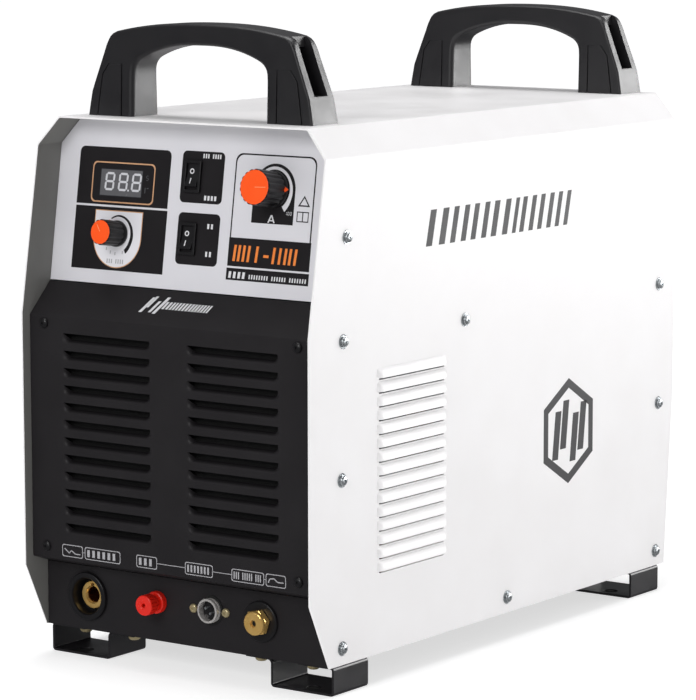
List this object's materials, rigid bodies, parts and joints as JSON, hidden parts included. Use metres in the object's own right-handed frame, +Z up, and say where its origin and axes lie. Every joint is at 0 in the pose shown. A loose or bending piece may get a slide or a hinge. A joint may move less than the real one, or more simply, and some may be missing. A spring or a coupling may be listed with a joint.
{
  "type": "plasma cutter unit",
  "caption": "Box-shaped inverter plasma cutter with a white wrap cover, tilted control panel, louvred front, lead sockets, channel feet and an arch handle at each end of the roof.",
  "frame": {"origin": "middle of the footprint on the floor, under the feet", "axes": "+Z up, the control panel faces -Y, +X is the right-hand side of a person who faces the controls"},
  "size_m": [0.287, 0.5454, 0.5035],
  "materials": {
    "white_coat": "semi-gloss white powder coat",
    "black_coat": "fine-textured black powder coat",
    "silver_panel": "satin silver panel with printed black fields",
    "black_plastic": "fine-grained moulded black plastic",
    "handle_plastic": "satin moulded black plastic",
    "orange_plastic": "satin orange plastic",
    "red_plastic": "glossy red plastic",
    "smoked_lens": "clear smoked window",
    "zinc": "zinc plated",
    "brass": "machined brass",
    "steel": "bright steel",
    "aluminium": "extruded aluminium",
    "circuit": "green laminate",
    "ferrite": "dark ferrite",
    "copper": "varnished copper winding",
    "hose": "blue rubber hose",
    "sleeve": "shrink sleeve"
  },
  "bodies": {
    "chassis": {"wrap_cover": "white_coat", "base_pan": "black_coat", "rear_panel": "black_coat", "louvre_panel": "black_coat", "connector_panel": "black_coat", "foot_front_right": "black_coat", "foot_front_left": "black_coat", "foot_rear_right": "black_coat", "foot_rear_left": "black_coat", "control_panel": "silver_panel", "louvre_panel_screw_1": "black_plastic", "louvre_panel_screw_2": "black_plastic", "louvre_panel_screw_3": "black_plastic", "louvre_panel_screw_4": "black_plastic", "gas_test_switch_frame": "black_plastic", "trigger_mode_switch_frame": "black_plastic", "display_module": "black_plastic", "earth_socket_body": "black_plastic", "control_socket_insert": "black_plastic", "torch_flange": "black_plastic", "fan_housing": "black_plastic", "breaker_body": "black_plastic", "cable_gland": "black_plastic", "gland_nut": "black_plastic", "front_handle": "handle_plastic", "rear_handle": "handle_plastic", "pilot_post_base": "red_plastic", "display_lens": "smoked_lens", "control_socket_shell": "zinc", "fan_guard": "zinc", "earth_stud": "zinc", "earth_socket_insert": "brass", "torch_fitting": "brass", "air_inlet": "brass", "gas_valve": "brass", "current_potentiometer": "steel", "gas_flow_potentiometer": "steel", "heatsink_left": "aluminium", "heatsink_right": "aluminium", "control_board": "circuit", "power_board": "circuit", "transformer_core": "ferrite", "transformer_winding": "copper", "choke": "copper", "gas_hose": "hose", "capacitor_1": "sleeve", "capacitor_2": "sleeve", "capacitor_3": "sleeve", "capacitor_4": "sleeve"},
    "current_dial": {"current_knob": "black_plastic", "current_knob_cap": "orange_plastic", "current_shaft": "steel"},
    "gas_flow_dial": {"gas_flow_knob": "black_plastic", "gas_flow_knob_cap": "orange_plastic", "gas_flow_shaft": "steel"},
    "gas_test_rocker": {"gas_test_rocker": "black_plastic"},
    "trigger_mode_rocker": {"trigger_mode_rocker": "black_plastic"},
    "pilot_post_nut": {"pilot_post_cap": "red_plastic"},
    "fan_rotor": {"fan_rotor": "black_plastic"},
    "breaker_lever": {"breaker_lever": "black_plastic"}
  },
  "joints": [
    {"name": "current_knob_turn", "type": "hinge", "parent": "chassis", "child": "current_dial", "pos_m": [0.0738, -0.23862, 0.38217], "axis": [0, -0.9889, 0.1483], "range_deg": [-60, 240]},
    {"name": "gas_flow_knob_turn", "type": "hinge", "parent": "chassis", "child": "gas_flow_dial", "pos_m": [-0.0739, -0.2449, 0.34034], "axis": [0, -0.9889, 0.1483], "range_deg": [-180, 120]},
    {"name": "gas_test_rock", "type": "hinge", "parent": "chassis", "child": "gas_test_rocker", "pos_m": [-0.004, -0.22293, 0.38568], "axis": [1, 0, 0], "range_deg": [0, 22]},
    {"name": "trigger_mode_rock", "type": "hinge", "parent": "chassis", "child": "trigger_mode_rocker", "pos_m": [-0.004, -0.23005, 0.33821], "axis": [1, 0, 0], "range_deg": [0, 22]},
    {"name": "pilot_post_turn", "type": "hinge", "parent": "chassis", "child": "pilot_post_nut", "pos_m": [-0.0257, -0.25875, 0.0544], "axis": [0, -1, 0], "range_deg": [0, 360]},
    {"name": "fan_spin", "type": "hinge", "parent": "chassis", "child": "fan_rotor", "pos_m": [0, 0.22725, 0.258], "axis": [0, 1, 0], "continuous": true},
    {"name": "breaker_throw", "type": "hinge", "parent": "chassis", "child": "breaker_lever", "pos_m": [0.092, 0.24175, 0.386], "axis": [1, 0, 0], "range_deg": [0, 56]}
  ]
}
